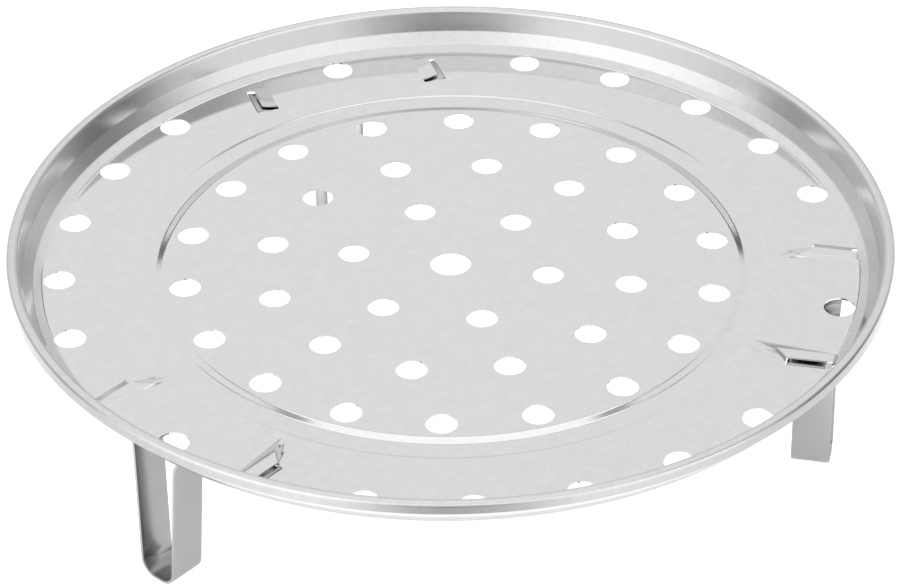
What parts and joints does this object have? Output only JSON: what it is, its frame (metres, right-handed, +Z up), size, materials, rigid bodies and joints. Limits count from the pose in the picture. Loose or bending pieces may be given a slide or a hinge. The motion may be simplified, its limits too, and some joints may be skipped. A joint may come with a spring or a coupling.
{
  "type": "steamer rack",
  "caption": "Round pierced steel steamer rack with a raised lip, on bent strap legs that clip into louvres; holds food above the water in a pan.",
  "frame": {"origin": "middle of the plate, at the level the feet stand on", "axes": "+Z up, +Y through the rear leg, +X to the right"},
  "size_m": [0.238, 0.238, 0.0605],
  "materials": {
    "pressed_steel": "bright, finely brushed stainless sheet",
    "strap_steel": "rolled stainless strap, satin"
  },
  "bodies": {
    "plate": {"steamer_plate": "pressed_steel"},
    "rear_leg": {"leg_rear": "strap_steel"},
    "front_left_leg": {"leg_front_left": "strap_steel"},
    "front_right_leg": {"leg_front_right": "strap_steel"}
  },
  "joints": [
    {"name": "rear_leg_play", "type": "slide", "parent": "plate", "child": "rear_leg", "axis": [0, 1, 0], "range_m": [0, 0.0011]},
    {"name": "front_left_leg_play", "type": "slide", "parent": "plate", "child": "front_left_leg", "axis": [-0.866, -0.5, 0], "range_m": [0, 0.0011]},
    {"name": "front_right_leg_play", "type": "slide", "parent": "plate", "child": "front_right_leg", "axis": [0.866, -0.5, 0], "range_m": [0, 0.0011]}
  ]
}
